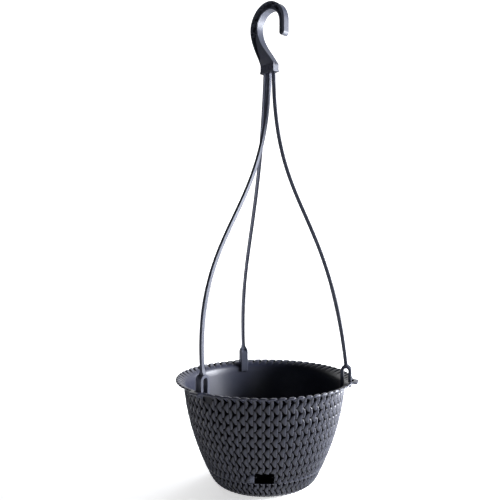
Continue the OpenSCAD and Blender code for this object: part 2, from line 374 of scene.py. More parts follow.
@dataclass(frozen=True)
class Plastic:
    """Anthracite moulded plastic.

    Fields: colour at the crests, a second colour that is painted shade in the hollows where there is a
    relief and the dark end of the melt's cloudiness where there is none, roughness, the grain of the mould
    and its depth, the shine, the attribute that says how high a point of the relief stands, from 0 to 1,
    the scales of the melt's cloudiness and of the scuffs, and the relief height below which painted shade
    takes over.
    """
    name: str
    crest: tuple[float, float, float]
    painted_shade_and_low_tone: tuple[float, float, float]
    roughness: float = 0.42
    grain: Grain = Grain.SPARKED
    grain_depth: float = 0.25
    shine: float = 0.4
    relief: str = ""
    cloud_scale: float = 38.0
    scuff_scale: float = 120.0
    painted_shade_below: float = 0.22

    def material(self) -> bpy.types.Material:
        """The procedural material: tone follows the relief, as painted shade that darkens its low parts, and
        a soft cloudiness of the melt.

        Returns:
            The material. With a relief, a dark matt shader paints shade into its deepest hollows.
        """
        n = Nodes(self.name)
        place = n.node("ShaderNodeTexCoord", output="Object")
        cloud = n.node("ShaderNodeTexNoise", {}, {"Vector": place, "Scale": self.cloud_scale, "Detail": 3.0})
        fine = n.node("ShaderNodeTexNoise", {}, {"Vector": place, "Scale": self.grain.value, "Detail": 2.0})
        scuff = n.node("ShaderNodeTexNoise", {},
                       {"Vector": place, "Scale": self.scuff_scale, "Detail": 4.0, "Roughness": 0.7})
        if self.relief:
            height = n.node("ShaderNodeAttribute", {"attribute_name": self.relief}, output="Fac")
            # Painted shade: the lower the relief, the darker the colour, standing in for the shade between
            # the cords
            tone = (height * 1.7 + cloud * 0.2 - 0.50).clamped()
        else:
            tone = (cloud * 0.5 + 0.5).clamped()
        colour = n.blend(tone, (*self.painted_shade_and_low_tone, 1.0), (*self.crest, 1.0))
        rub = ((scuff - 0.5) * 0.16 + (cloud - 0.5) * 0.1)
        bump = n.node("ShaderNodeBump", {}, {"Strength": self.grain_depth, "Distance": 0.0002,
                                             "Height": fine + scuff * 0.6})
        n.finish(Base_Color=colour, Roughness=(rub + self.roughness).clamped(), Normal=bump,
                 Specular_IOR_Level=self.shine)
        if self.relief:
            # Painted shade: a dark matt shader takes over in the deepest hollows of the relief, standing in
            # for shade
            painted_shade_shader = n.node("ShaderNodeBsdfDiffuse", {}, {"Color": (*self.painted_shade_and_low_tone, 1.0)})
            clear_of_painted_shade = ((height - self.painted_shade_below) * 2.6).clamped()
            painted_shade_mix = n.node("ShaderNodeMixShader", {}, {0: clear_of_painted_shade, 1: painted_shade_shader, 2: n.shader.outputs[0]})
            n.feed(n.tree.nodes["Material Output"].inputs["Surface"], painted_shade_mix)
        return n.material


# ---------------------------------------------------------------- the side of the basket

@dataclass(frozen=True)
class Side:
    """The curve that bowl and saucer share, in metres.

    The wall's radius is mouth_r - (mouth_r - foot_r)(1 - z / straight_h)^2. Below it a round of
    radius rest_round runs down to the flat of radius rest_r.
    """
    mouth_r: float = 133.4 * MM
    foot_r: float = 81.4 * MM
    straight_h: float = 186 * MM
    rim_h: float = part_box("bowl")[1][2]
    lip_flare: float = 12 * MM
    lip_reach: float = 13 * MM
    lip_t: float = 4 * MM
    wall_t: float = 3.2 * MM
    seam_h: float = 30.5 * MM
    seam_gap: float = 0.4 * MM
    rest_r: float = 67 * MM
    rest_round: float = 24 * MM
    round_end: float = math.radians(65)

    def wall_r(self, z: np.ndarray | float) -> np.ndarray | float:
        """Radius of the wall's crests at height z."""
        return self.mouth_r - (self.mouth_r - self.foot_r) * (1 - z / self.straight_h) ** 2

    @property
    def flare_z(self) -> float:
        """Height where the wall turns out into the lip."""
        return self.rim_h - self.lip_flare

    @property
    def lip_r(self) -> float:
        """Outer radius of the lip."""
        return self.wall_r(self.flare_z) + self.lip_reach

    def curve(self) -> np.ndarray:
        """The side as a dense line: the round at its foot, the wall, and the flare into the lip.

        The flare starts along the wall and ends nearly flat: a quadratic curve of three points.

        Returns:
            Points (radius, height) from the resting flat up to the lip's underside.
        """
        a = np.linspace(0, self.round_end, 60)
        low = np.stack([self.rest_r + self.rest_round * np.sin(a),
                        self.rest_round * (1 - np.cos(a))], -1)
        z = np.linspace(low[-1, 1] + 0.0008, self.flare_z, 300)
        wall = np.stack([self.wall_r(z), z], -1)
        q = np.linspace(0, 1, 50)[1:, None]
        start, end = wall[-1], np.array([self.lip_r - 0.9 * MM, self.rim_h - self.lip_t])
        bend = np.array([start[0] + 2.2 * MM, start[1] + 6.2 * MM])
        return np.vstack([low, wall, quadratic(q, start, bend, end)])

    def along(self) -> tuple[np.ndarray, np.ndarray]:
        """The curve's points and the distance of each along it, from the flat."""
        points = self.curve()
        return points, run_along(points)

    def at(self, s: np.ndarray) -> np.ndarray:
        """Points (radius, height) at distances s along the curve."""
        points, distance = self.along()
        return np.stack([np.interp(s, distance, points[:, k]) for k in (0, 1)], -1)

    def s_at(self, z: float) -> float:
        """Distance along the curve of the point at height z."""
        points, distance = self.along()
        return float(np.interp(z, points[:, 1], distance))


@dataclass(frozen=True)
class Weave:
    """The cord-like relief of the wall.

    Each upright column is a chain of two leaves a row: a crescent that bulges to the right, and half
    a row lower a wedge that points to the left and ends in an upright bar. Across a column, 0 is the
    bar and 1 the next bar. Along it, 0 is a crescent's middle and 0.5 a wedge's.
    """
    side: Side
    columns: int = 66
    row: float = 17.3 * MM
    depth: float = 2.7 * MM
    first_bar: float = math.radians(-90 - 2.4)
    first_row_z: float = 157.6 * MM
    stops: tuple[float, ...] = (0.0, 0.04, 0.09, 0.16, 0.24, 0.32, 0.40, 0.48, 0.56, 0.68, 0.80, 0.90)

    def angles(self) -> np.ndarray:
        """Angles of the mesh's upright lines: the same stops across each column."""
        across = np.arange(self.columns)[:, None] + np.array(self.stops)[None, :]
        return self.first_bar + across.ravel() * 2 * math.pi / self.columns

    def height(self, angle: np.ndarray, s: np.ndarray) -> np.ndarray:
        """How high the relief stands, from 0 to 1, at angles and distances along the side.

        Args:
            angle: Angles about the axis, in radians.
            s: Distances along the side curve, in metres.

        Returns:
            Heights of the broadcast shape.
        """
        u = ((angle - self.first_bar) * self.columns / (2 * math.pi)) % 1.0
        t = (self.side.s_at(self.first_row_z) - s) / self.row
        near = (t + 0.5) % 1.0 - 0.5
        half = t % 1.0 - 0.5
        # Crescent: its back slopes up from the bar to a ridge, then rounds off steeply to the right
        swell = np.sqrt(np.clip(1 - (near / 0.49) ** 2, 0, 1))
        left, ridge, edge = 0.06, 0.06 + 0.35 * swell, 0.06 + 0.51 * swell
        rise = 0.34 + 0.66 * np.clip((u - left) / np.maximum(ridge - left, 1e-6), 0, 1)
        drop = np.sqrt(np.clip(1 - ((u - ridge) / np.maximum(edge - ridge, 1e-6)) ** 2, 0, 1))
        crescent = np.where(u < ridge, rise, drop) * (u > left - 0.03) * (u < edge)
        crescent = crescent * (0.55 + 0.45 * swell) * (swell > 0)
        # Wedge: from its left point it slopes up to the bar, which falls off steeply to the right
        point = np.clip(1 - (np.abs(half) / 0.47) ** 1.3, 0, 1)
        reach = 0.10 + 0.58 * point
        v = np.where(u > 0.14, 1 - u, -u)
        back = 1 - 0.68 * np.clip((v - 0.02) / np.maximum(reach - 0.02, 1e-6), 0, 1) ** 0.9
        back = back * (v < reach)
        front = np.sqrt(np.clip(1 - (np.clip(0.02 - v, 0, None) / 0.13) ** 2, 0, 1))
        wedge = np.where(v > 0.02, back, front) * smooth(point, 0.0, 0.2) * (0.85 + 0.15 * point)
        return np.maximum(crescent * 0.94, wedge)


@dataclass(frozen=True)
class Clips:
    """Where the three clips stand and the sizes of their arch, in metres and radians."""
    side: Side
    turns: tuple[float, ...] = tuple(math.radians(a) for a in (227, 347, 107))
    arch_w: float = 17.2 * MM
    band: float = 4.8 * MM
    rise: float = 24 * MM
    length: float = 12.5 * MM
    plate_t: float = 3 * MM
    drop: float = 18 * MM
    outer_drop: float = 10 * MM
    clearance: float = 0.4 * MM
    slot_slack: float = 3 * MM
    latch_drop: float = 17 * MM
    latch_w: float = 4 * MM
    latch_h: float = 6 * MM

    @property
    def leg_out_r(self) -> float:
        """Radius of the inner leg's outer face at its foot."""
        return self.side.wall_r(self.side.rim_h - self.drop) - self.side.wall_t - self.clearance

    @property
    def arch_r(self) -> float:
        """Radius of the arch's middle."""
        return self.leg_out_r - 2.3 * MM + self.arch_w / 2

    @property
    def centre_z(self) -> float:
        """Height of the centre of the arch's round top."""
        return self.side.rim_h + self.rise - self.arch_w / 2

    def beside(self, angle: np.ndarray, turn: float) -> np.ndarray:
        """Distance round the rim from a clip's middle, positive anticlockwise."""
        return ((angle - turn + math.pi) % (2 * math.pi) - math.pi) * self.side.lip_r


@dataclass
class Bowl:
    """The woven bowl: a closed shell with its lip, ears, slots, latch holes and window."""
    side: Side
    weave: Weave
    clips: Clips
    rings_a_row: int = 11
    ear_reach: float = 8.5 * MM
    ear_half: float = 8.5 * MM
    ear_end: float = 15 * MM
    window_w: float = 29 * MM
    window_h: float = 17 * MM
    ledge_z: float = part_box("soil_grate")[1][2] - 2.4 * MM
    ledge_t: float = 2.5 * MM
    ledge_w: float = 6 * MM
    rope_depth: float = 2.1 * MM

    def profile(self) -> dict[str, np.ndarray]:
        """The bowl's closed outline, up its outside, over the lip and down its inside.

        Returns:
            The points (radius, height), the share at each of the weave, of the rim's rope and of an
            ear, and the distance s of each along the outline.
        """
        side = self.side
        skirt_z = side.seam_h + side.seam_gap / 2
        s0, s1 = side.s_at(skirt_z), side.along()[1][-1]
        s = np.linspace(s0, s1, int((s1 - s0) / self.weave.row * self.rings_a_row))
        wall = side.at(s)
        top, r = side.rim_h, side.lip_r
        lip = np.array([[r - 0.25 * MM, top - 3.4 * MM], [r, top - 2.6 * MM], [r, top - 1.5 * MM],
                        [r - 0.35 * MM, top - 0.6 * MM], [r - 1.1 * MM, top - 0.1 * MM],
                        [r - 2.2 * MM, top], [r - 3.4 * MM, top - 0.15 * MM], [r - 4.4 * MM, top - 0.8 * MM]])
        inner_top = np.array([side.wall_r(side.flare_z) - side.wall_t, side.flare_z])
        q = np.linspace(0, 1, 9)[1:, None]
        bend = np.array([inner_top[0] + 2.6 * MM, side.flare_z + 7.6 * MM])
        funnel = quadratic(q, lip[-1], bend, inner_top)
        z = np.linspace(side.flare_z, self.ledge_z, 13)[1:]
        inside = np.stack([side.wall_r(z) - side.wall_t, z], -1)
        deep = side.wall_r(self.ledge_z) - side.wall_t - self.ledge_w
        under = self.ledge_z - self.ledge_t
        z = np.linspace(under - 2 * MM, skirt_z, 6)
        skirt = np.stack([side.wall_r(z) - side.wall_t, z], -1)
        ledge = [[deep + 0.4 * MM, self.ledge_z], [deep, self.ledge_z - 0.5 * MM], [deep, under]]
        points = np.vstack([wall, lip, funnel, inside, ledge, skirt])
        count, rim, end = len(points), len(s), len(s) + len(lip)
        weave = np.zeros(count)
        # The weave dies out where the wall meets the seam and the lip
        weave[:rim] = smooth(s, s0 - 0.1 * MM, s0 + 0.9 * MM) * (1 - 0.75 * smooth(s, s1 - 9 * MM, s1))
        rope = np.zeros(count)
        rope[:rim] = 0.55 * smooth(s, s1 - 4 * MM, s1)
        rope[rim:end] = np.linspace(0.55, 1, len(lip))
        rope[end: end + len(funnel)] = 1 - smooth(q[:, 0], 0.1, 0.7)
        ear = np.zeros(count)
        ear[:rim] = smooth(s, s1 - 1.5 * MM, s1 - 0.1 * MM)
        ear[rim:end] = [1, 1, 1, 1, 0.9, 0.5, 0.2, 0.0]
        return {"points": points, "weave": weave, "rope": rope, "ear": ear, "s": s0 + run_along(points)}

    def rope(self, angle: np.ndarray, run: np.ndarray) -> np.ndarray:
        """Depth of the joints between the rim's loops: one a column, narrower downwards.

        A joint is exp(-(gap / width)^2), with a wide shallow dip 0.22 (1 - sin(pi x))^2 round it.

        Args:
            angle: Angles about the axis, in radians.
            run: Distances along the outline from the lip's edge, in metres.

        Returns:
            Depths from 0 to about 1, of the broadcast shape.
        """
        u = (angle - self.weave.first_bar) * self.weave.columns / (2 * math.pi)
        x = (u - 0.75 - run / (34 * MM)) % 1.0
        gap = np.minimum(x, 1 - x)
        width = 0.085 + 0.075 * np.exp(-((run - 6 * MM) / (5 * MM)) ** 2)
        return np.exp(-((gap / width) ** 2)) + 0.22 * (1 - np.sin(math.pi * x)) ** 2

    def surface(self) -> tuple[np.ndarray, np.ndarray]:
        """The outline carried round the axis, sunk along its normal between the cords.

        Returns:
            Vertices of shape (angles, outline, 3), and each one's height in the relief, 0 to 1.
        """
        p = self.profile()
        outline = p["points"]
        normal = side_normals(outline)
        angle = self.weave.angles()[:, None]
        s = p["s"][None, :]
        height = self.weave.height(angle, s)
        calm, ear = np.zeros_like(height), np.zeros_like(angle)
        for turn in self.clips.turns:
            v = self.clips.beside(angle, turn)
            ear = np.maximum(ear, 1 - smooth(np.abs(v), self.ear_half, self.ear_end))
            near_ear = 1 - smooth(np.abs(v), self.ear_end - 1 * MM, self.ear_end + 5 * MM)
            calm = np.maximum(calm, near_ear * p["rope"][None, :])
            # A plain patch beside the latch hole
            z = outline[None, :, 1]
            patch_z = self.side.rim_h - self.clips.latch_drop - 4 * MM
            patch = 1 - smooth(np.abs(v - 8 * MM), 9 * MM, 11 * MM)
            patch = patch * smooth(z, patch_z, patch_z + 2 * MM)
            calm = np.maximum(calm, patch * (p["weave"] > 0)[None, :])
        sunk = self.weave.depth * p["weave"][None, :] * (1 - height) * (1 - calm)
        sunk += self.weave.depth * 0.55 * p["weave"][None, :] * calm * (p["rope"] == 0)[None, :]
        run = s - p["s"][int(np.argmax(outline[:, 1] > self.side.rim_h - 3 * MM))]
        joints = self.rope(angle, run) * p["rope"][None, :] * (1 - calm)
        sunk += self.rope_depth * joints
        r = outline[None, :, 0] - sunk * normal[None, :, 0] + self.ear_reach * ear * p["ear"][None, :]
        z = outline[None, :, 1] - sunk * normal[None, :, 1]
        return turned_round(r, z, angle), 1 - np.clip(sunk / self.weave.depth, 0, 1)

    def cutters(self) -> list[Shape]:
        """Shapes of the slots, the latch holes and the window.

        Returns:
            Vertices and faces of each.
        """
        side, clips = self.side, self.clips
        arch_in = clips.arch_w / 2 - clips.band
        slot = (clips.arch_r + arch_in - clips.clearance,
                clips.arch_r + clips.arch_w / 2 + clips.clearance + clips.slot_slack)
        half = clips.length / 2 + clips.clearance
        latch_z, latch_half = side.rim_h - clips.latch_drop, clips.latch_w / 2
        latch_r = side.wall_r(latch_z)
        shapes = []
        for turn in clips.turns:
            shapes.append(box_between((slot[0], -half, side.flare_z + 1 * MM),
                                      (slot[1], half, side.rim_h + 2 * MM), turn))
            shapes.append(box_between((latch_r - 8 * MM, -latch_half, latch_z),
                                      (latch_r + 5 * MM, latch_half, latch_z + clips.latch_h), turn))
        low = side.seam_h - 2 * MM
        shapes.append(box_between((-self.window_w / 2, -side.mouth_r, low),
                                  (self.window_w / 2, -side.foot_r + 6 * MM, side.seam_h + self.window_h)))
        return shapes

    def build(self, finish: bpy.types.Material) -> bpy.types.Object:
        """Makes the bowl, cuts its openings and puts it in the CAD bowl's place.

        Args:
            finish: Its material.

        Returns:
            The piece.
        """
        points, relief = self.surface()
        faces = grid_faces(points.shape[0], points.shape[1], True, True)
        piece = mesh_piece("bowl_shell", points, faces, "bowl", {"relief": relief}, 50)
        piece.data.materials.append(finish)
        cut(piece, self.cutters())
        shade(piece.data, 50)
        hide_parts("bowl")
        return piece

    def jamb(self, finish: bpy.types.Material) -> bpy.types.Object:
        """A smooth pad beside the window, rounded like a thumb: a super-ellipsoid on the wall.

        A point is the pad's middle plus (a cos v cos w, b cos v sin w, c sin v), with each sine and
        cosine raised to a power of 0.6 or 0.7 with its sign kept.

        Args:
            finish: Its material.

        Returns:
            The piece.
        """
        side = self.side
        half = np.array([4.2 * MM, 4.5 * MM, 7.2 * MM])
        z = side.seam_h + 0.6 * MM + half[2]
        x = -self.window_w / 2 - half[0] + 0.4 * MM
        centre = np.array([x, -math.sqrt(side.wall_r(z) ** 2 - x * x) + 3.3 * MM, z])
        v = np.linspace(-math.pi / 2, math.pi / 2, 25)[1:-1, None]
        w = np.linspace(0, 2 * math.pi, 33)[None, :-1]
        cos_v, cos_w, sin_w, sin_v = (np.sign(q) * np.abs(q) ** power for q, power in (
            (np.cos(v), 0.6), (np.cos(w), 0.7), (np.sin(w), 0.7), (np.sin(v), 0.7)))
        ring = np.stack([cos_v * cos_w, cos_v * sin_w, sin_v + 0 * w], -1)
        points = (centre + ring * half).reshape(-1, 3)
        slope = (side.wall_r(z + half[2]) - side.wall_r(z - half[2])) / (2 * half[2])
        points[:, 1] -= (points[:, 2] - z) * slope
        faces = grid_faces(v.shape[0], w.shape[1], False, True).tolist()
        columns = w.shape[1]
        faces += [list(range(columns - 1, -1, -1)), list(range(len(points) - columns, len(points)))]
        piece = mesh_piece("window_jamb", points, faces, "bowl", None, 60)
        piece.data.materials.append(finish)
        return piece


@dataclass
class Saucer:
    """The woven saucer below the seam, with its collar and its resting ring."""
    side: Side
    weave: Weave
    window_w: float = 29 * MM
    rings_a_row: int = 11
    collar_h: float = 7 * MM
    collar_t: float = 2 * MM
    floor_t: float = 2.6 * MM
    hub_r: float = 6 * MM

    def surface(self) -> tuple[np.ndarray, np.ndarray]:
        """The outline carried round the axis: wall, collar, dish, floor and underside.

        Returns:
            Vertices of shape (angles, outline, 3), and each one's height in the relief, 0 to 1.
        """
        side = self.side
        top = side.seam_h - side.seam_gap / 2
        s1 = side.s_at(top)
        s = np.linspace(0.2 * MM, s1, int(s1 / self.weave.row * self.rings_a_row))
        wall = side.at(s)
        collar_r = side.wall_r(side.seam_h) - side.wall_t - side.seam_gap
        # The shoulder under the bowl, the collar, and the inside down to the middle of the floor
        inner = side.rest_round - side.wall_t
        a = np.linspace(side.round_end, 0, 7)
        dish = np.stack([side.rest_r + inner * np.sin(a), side.rest_round - inner * np.cos(a)
                         + self.floor_t - side.wall_t], -1)
        upper = np.array([[collar_r, top], [collar_r, side.seam_h + self.collar_h - 0.5 * MM],
                          [collar_r - 0.5 * MM, side.seam_h + self.collar_h],
                          [collar_r - self.collar_t + 0.5 * MM, side.seam_h + self.collar_h],
                          [collar_r - self.collar_t, side.seam_h + self.collar_h - 0.5 * MM],
                          [collar_r - self.collar_t, top - 4 * MM]])
        floor = np.array([[42 * MM, self.floor_t], [self.hub_r, self.floor_t]])
        # Underneath, the flat is a ring: the middle is dished up by a millimetre
        below = np.array([[self.hub_r, 1.1 * MM], [40 * MM, 1.1 * MM], [56 * MM, 1.0 * MM],
                          [60 * MM, 0.1 * MM], [61 * MM, 0.0], [66.4 * MM, 0.0]])
        outline = np.vstack([wall, upper, dish, floor, below])
        share = np.zeros(len(outline))
        share[: len(s)] = smooth(s, 4 * MM, 9 * MM) * (1 - smooth(s, s1 - 0.9 * MM, s1 + 0.1 * MM))
        normal = side_normals(outline)
        angle = self.weave.angles()[:, None]
        full_s = np.concatenate([s, np.full(len(outline) - len(s), s1)])[None, :]
        sunk = self.weave.depth * share[None, :] * (1 - self.weave.height(angle, full_s))
        r = outline[None, :, 0] - sunk * normal[None, :, 0]
        z = outline[None, :, 1] - sunk * normal[None, :, 1]
        return turned_round(r, z, angle), 1 - np.clip(sunk / self.weave.depth, 0, 1)

    def build(self, finish: bpy.types.Material) -> bpy.types.Object:
        """Makes the saucer and opens its collar behind the window.

        Args:
            finish: Its material.

        Returns:
            The piece.
        """
        points, relief = self.surface()
        count, outline = points.shape[:2]
        faces = grid_faces(count, outline, True, True)
        # The two hub rings are each closed by one flat face in place of the quads between them
        hub_top = int(np.argmin(np.hypot(points[0, :, 0], points[0, :, 1])))
        column = faces[:, 0] % outline
        faces = faces[column != hub_top].tolist()
        faces.append([k * outline + hub_top for k in range(count)])
        faces.append([k * outline + hub_top + 1 for k in range(count - 1, -1, -1)])
        piece = mesh_piece("saucer_shell", points, faces, "saucer", {"relief": relief}, 50)
        piece.data.materials.append(finish)
        half = self.window_w / 2 + 2 * MM
        top = self.side.seam_h
        cut(piece, [box_between((-half, -self.side.mouth_r, top - self.side.seam_gap / 2 + 0.02 * MM),
                                (half, -40 * MM, top + self.collar_h + 2 * MM))])
        shade(piece.data, 50)
        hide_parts("saucer")
        return piece


# ---------------------------------------------------------------- strands and hook

@dataclass(frozen=True)
class Hang:
    """Where the hook stands, in metres and radians."""
    top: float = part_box("hook")[1][2]
    base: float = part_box("hook")[0][2]
    turn: float = math.radians(45)
    off: float = 8.3 * MM
    pitch: float = 9.5 * MM
    radius: float = 38.5 * MM
    eye_r: float = 24.6 * MM
    thick: float = 15 * MM

    @property
    def across(self) -> np.ndarray:
        """Direction across the hook, from its open face to its closed one."""
        return np.array([math.cos(self.turn), math.sin(self.turn), 0])

    @property
    def row(self) -> np.ndarray:
        """Direction from the back limb towards the tip, along the row of cells."""
        return np.array([math.sin(self.turn), -math.cos(self.turn), 0])

    def seat(self, k: int) -> np.ndarray:
        """Where strand head k, from -1 to 1, enters the socket."""
        return np.array([self.off, 0, self.base + 2 * MM]) + self.row * k * self.pitch


@dataclass
class Strand:
    """One stiff strand with its clip. Its bow is two handles of a cubic curve, each a share of the
    drop and a share of the reach."""
    name: str
    index: int
    seat: int
    bow: tuple[tuple[float, float], tuple[float, float]]
    hang: Hang
    clips: Clips
    deep: float = 5.6 * MM
    wide: float = 5.5 * MM
    head: tuple[float, float, float] = (7.2 * MM, 8.4 * MM, 14 * MM)
    groove: float = 0.85 * MM
    flange: float = 1.25 * MM
    chamfer: float = 0.3 * MM
    tongue: float = 2.4 * MM

    def path(self, count: int = 110) -> np.ndarray:
        """The strand's middle line: its drop and its reach are cubic curves of the two handles.

        Args:
            count: How many stations.

        Returns:
            Stations from the head to the clip, of shape (count, 3).
        """
        u = np.linspace(0, 1, count)[:, None]
        drop, reach = (cubic(u, first, second) for first, second in zip(*self.bow))
        turn = self.clips.turns[self.index]
        start = self.hang.seat(self.seat)
        foot_z = self.clips.centre_z + self.clips.arch_w / 2 - 2 * MM
        end = np.array([self.clips.arch_r * math.cos(turn), self.clips.arch_r * math.sin(turn), foot_z])
        flat = start[:2] * (1 - reach) + end[:2] * reach
        return np.hstack([flat, start[2] + (end[2] - start[2]) * drop])

    def section(self) -> np.ndarray:
        """An H: two flanges and the web between them.

        Returns:
            The outline, of shape (m, 2): how far outwards, and how far across.
        """
        a, b, g = self.deep / 2, self.wide / 2, self.groove
        f, c = self.flange, self.chamfer
        half = [(a - g, 0), (a - g, b - f), (a - c, b - f + 0.15 * MM), (a, b - f + c + 0.1 * MM),
                (a, b - c), (a - c, b)]
        right = half + [(-p, q) for p, q in half[::-1]]
        left = [(-p, -q) for p, q in half[1:]] + [(p, -q) for p, q in half[:0:-1]]
        return np.array(right + left)

    def rod(self) -> Shape:
        """The strand, its flanges spreading into the clip's plates over the last stretch.

        Returns:
            Vertices and faces.
        """
        path = self.path()
        along = unit(np.gradient(path, axis=0))
        turn = self.clips.turns[self.index]
        side = np.array([-math.sin(turn), math.cos(turn), 0.0])
        across = unit(side - along * (along @ side)[:, None])
        out = np.cross(across, along)
        section = np.broadcast_to(self.section(), (len(path), len(self.section()), 2)).copy()
        left = path[:, 2] - path[-1, 2]
        spread = 1 - smooth(left, 0.5 * MM, 7 * MM)
        widen = (self.clips.length - self.wide) / 2 * spread
        section[..., 1] += np.sign(section[..., 1]) * (np.abs(section[..., 1]) > 0.4 * MM) * widen[:, None]
        return swept(path, out, across, section)

    def arch(self, offset: float, thick: float, inset: float) -> Shape:
        """One plate of the clip: a rounded bar carried up the inner leg, over the arch and down.

        Args:
            offset: Place of the plate across the clip.
            thick: Thickness across the clip.
            inset: How much narrower its band is over the crown and the outer leg.

        Returns:
            Vertices and faces.
        """
        clips = self.clips
        turn = clips.turns[self.index]
        out, side = np.array([math.cos(turn), math.sin(turn)]), np.array([-math.sin(turn), math.cos(turn)])
        middle = clips.arch_w / 2 - clips.band / 2
        rim = clips.side.rim_h
        low_in, low_out = rim - clips.drop, rim - clips.outer_drop
        # In the clip's plane: x from the arch's middle, z, and the band's width there
        up = np.linspace(low_in, clips.centre_z, 22)
        a = np.linspace(math.pi, 0, 26)[1:-1]
        down = np.linspace(clips.centre_z, low_out, 18)
        narrow = smooth(up, rim - 14 * MM, rim - 4 * MM)
        x = np.concatenate([-middle - (1 - narrow) * (clips.band - self.tongue) / 2, middle * np.cos(a),
                            np.full(len(down), middle)])
        z = np.concatenate([up, clips.centre_z + middle * np.sin(a), down])
        width = np.concatenate([self.tongue + narrow * (clips.band - self.tongue),
                                np.full(len(a) + len(down), clips.band)])
        tip = np.minimum(smooth(z - low_in, -0.6 * MM, 1.6 * MM) + (x > 0), 1)
        tip = np.minimum(tip, np.where(x > 0, smooth(z - low_out, -0.6 * MM, 1.6 * MM), 1))
        width = width * (0.45 + 0.55 * tip)
        path2 = np.stack([x, z], -1)
        normal2 = unit(np.gradient(path2, axis=0)) @ np.array([[0, 1], [-1, 0]])
        path = np.column_stack([(clips.arch_r + x)[:, None] * out + offset * side, z])
        outward = np.column_stack([normal2[:, :1] * out, normal2[:, 1]])
        # normal2 points to the arch's inside or outside: make it the outside
        away = np.where(((path2 - np.array([0, clips.centre_z - 20 * MM])) * normal2).sum(1) < 0, -1.0, 1.0)
        outward = outward * away[:, None]
        across = np.tile(np.append(side, 0.0), (len(path), 1))
        c = 0.5 * MM
        h, w = width[:, None] / 2, thick / 2
        # The inner leg's back is flush, so that it reads as one tongue
        top, low = h - inset * smooth(x, -middle - 0.5 * MM, -middle * 0.6)[:, None], -h
        outline = np.stack([np.hstack([top, top, top - c, low + c, low, low, low + c, top - c]),
                            np.tile([-w + c, w - c, w, w, w - c, -w + c, -w, -w], (len(h), 1))], -1)
        return swept(path, outward, across, outline)

    def build(self, finish: bpy.types.Material) -> bpy.types.Object:
        """Makes the strand with its clip and head, in the CAD strand's place.

        Args:
            finish: Its material.

        Returns:
            The piece.
        """
        clips = self.clips
        plate = (clips.length - clips.plate_t) / 2
        parts = [self.rod(), self.arch(plate, clips.plate_t, 0.0), self.arch(-plate, clips.plate_t, 0.0),
                 self.arch(0.0, clips.length - 2 * clips.plate_t + 1 * MM, 1.3 * MM)]
        seat = self.hang.seat(self.seat)
        thick, wide, high = self.head
        head, faces = box_between((-thick / 2, -wide / 2, 0), (thick / 2, wide / 2, high), self.hang.turn)
        parts.append((head + np.array([seat[0], seat[1], self.hang.base + 1 * MM]), faces))
        points, faces = joined(parts)
        piece = mesh_piece(self.name + "_moulding", points, faces, "hanger", None, 38)
        piece.data.materials.append(finish)
        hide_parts(self.name)
        return piece


